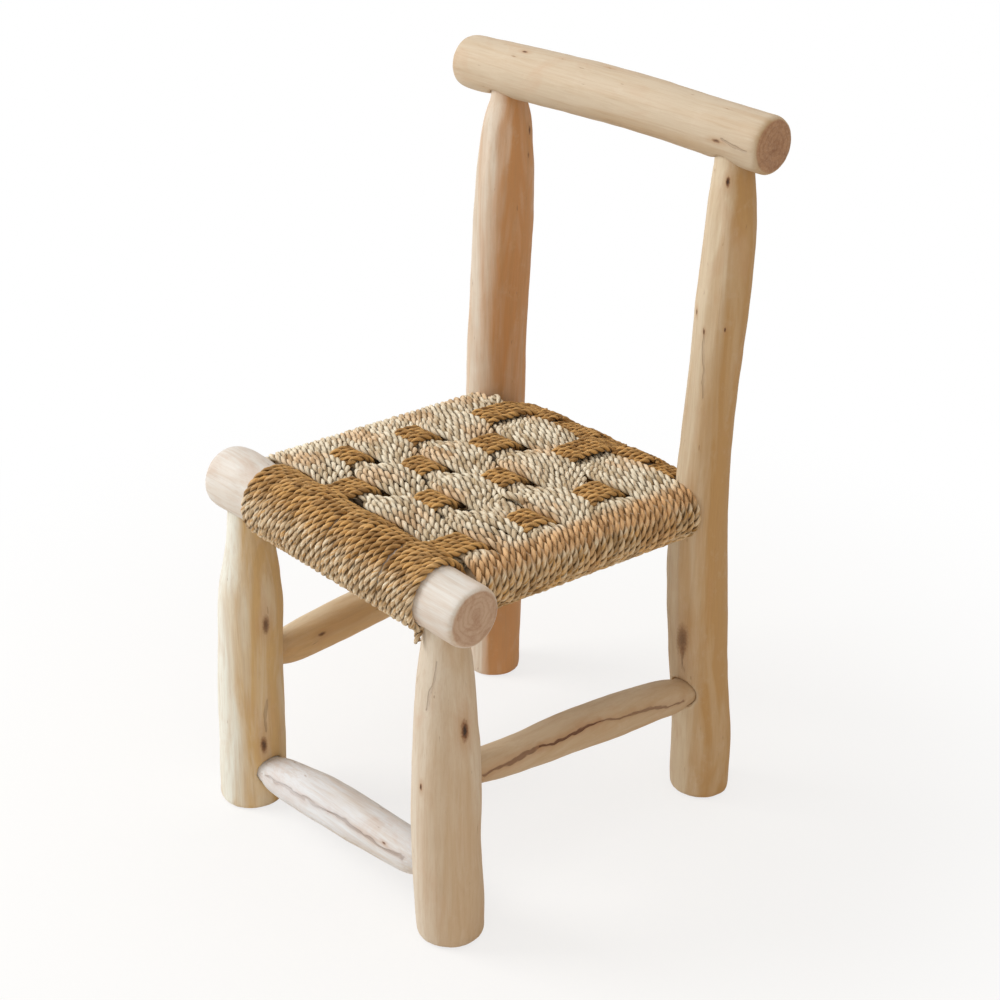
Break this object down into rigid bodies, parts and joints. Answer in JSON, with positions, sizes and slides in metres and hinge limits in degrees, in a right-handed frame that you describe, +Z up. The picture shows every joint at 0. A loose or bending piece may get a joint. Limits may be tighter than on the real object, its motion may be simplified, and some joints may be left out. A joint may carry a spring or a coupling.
{
  "type": "child chair",
  "caption": "Small child's chair of peeled round logs, with tenoned legs, stretchers and a crest rail, and a seat woven from twisted cord.",
  "frame": {"origin": "on the floor, at the middle of the chair's outline as seen from above", "axes": "+Z up, -Y to the chair's front, +X to the viewer's right as seen from the front"},
  "size_m": [0.2942, 0.316, 0.5522],
  "materials": {
    "peeled_log": "pale peeled softwood, hand shaved, dry and unvarnished, with knots and fine cracks",
    "stretcher_wood": "pale peeled softwood, thinner poles, a little darker at the whittled ends",
    "seat_rail_wood": "peeled softwood, plain, hidden under the rope but for the ends",
    "warp_rope": "two-ply twisted rush cord, pale straw, matte",
    "weft_rope": "two-ply twisted rush cord, straw to light brown, matte",
    "wrap_rope": "two-ply twisted rush cord, golden brown, matte"
  },
  "bodies": {
    "root": {"back_post_left": "peeled_log", "back_post_right": "peeled_log", "crest_rail": "peeled_log", "front_leg_left": "peeled_log", "front_leg_right": "peeled_log", "front_seat_rail": "peeled_log", "front_stretcher": "stretcher_wood", "front_wrap_1": "wrap_rope", "front_wrap_2": "wrap_rope", "front_wrap_3": "wrap_rope", "front_wrap_4": "wrap_rope", "rear_seat_rail": "seat_rail_wood", "rear_wrap_1": "wrap_rope", "rear_wrap_2": "wrap_rope", "rear_wrap_3": "wrap_rope", "side_seat_rail_left": "seat_rail_wood", "side_seat_rail_right": "seat_rail_wood", "side_stretcher_left": "stretcher_wood", "side_stretcher_right": "stretcher_wood", "warp_band_a": "warp_rope", "warp_band_b": "warp_rope", "warp_band_c": "warp_rope", "warp_band_d": "warp_rope", "weft_band_1": "weft_rope", "weft_band_2": "weft_rope", "weft_band_3": "weft_rope", "weft_band_4": "weft_rope", "weft_band_5": "weft_rope", "weft_band_6": "weft_rope"}
  },
  "joints": []
}
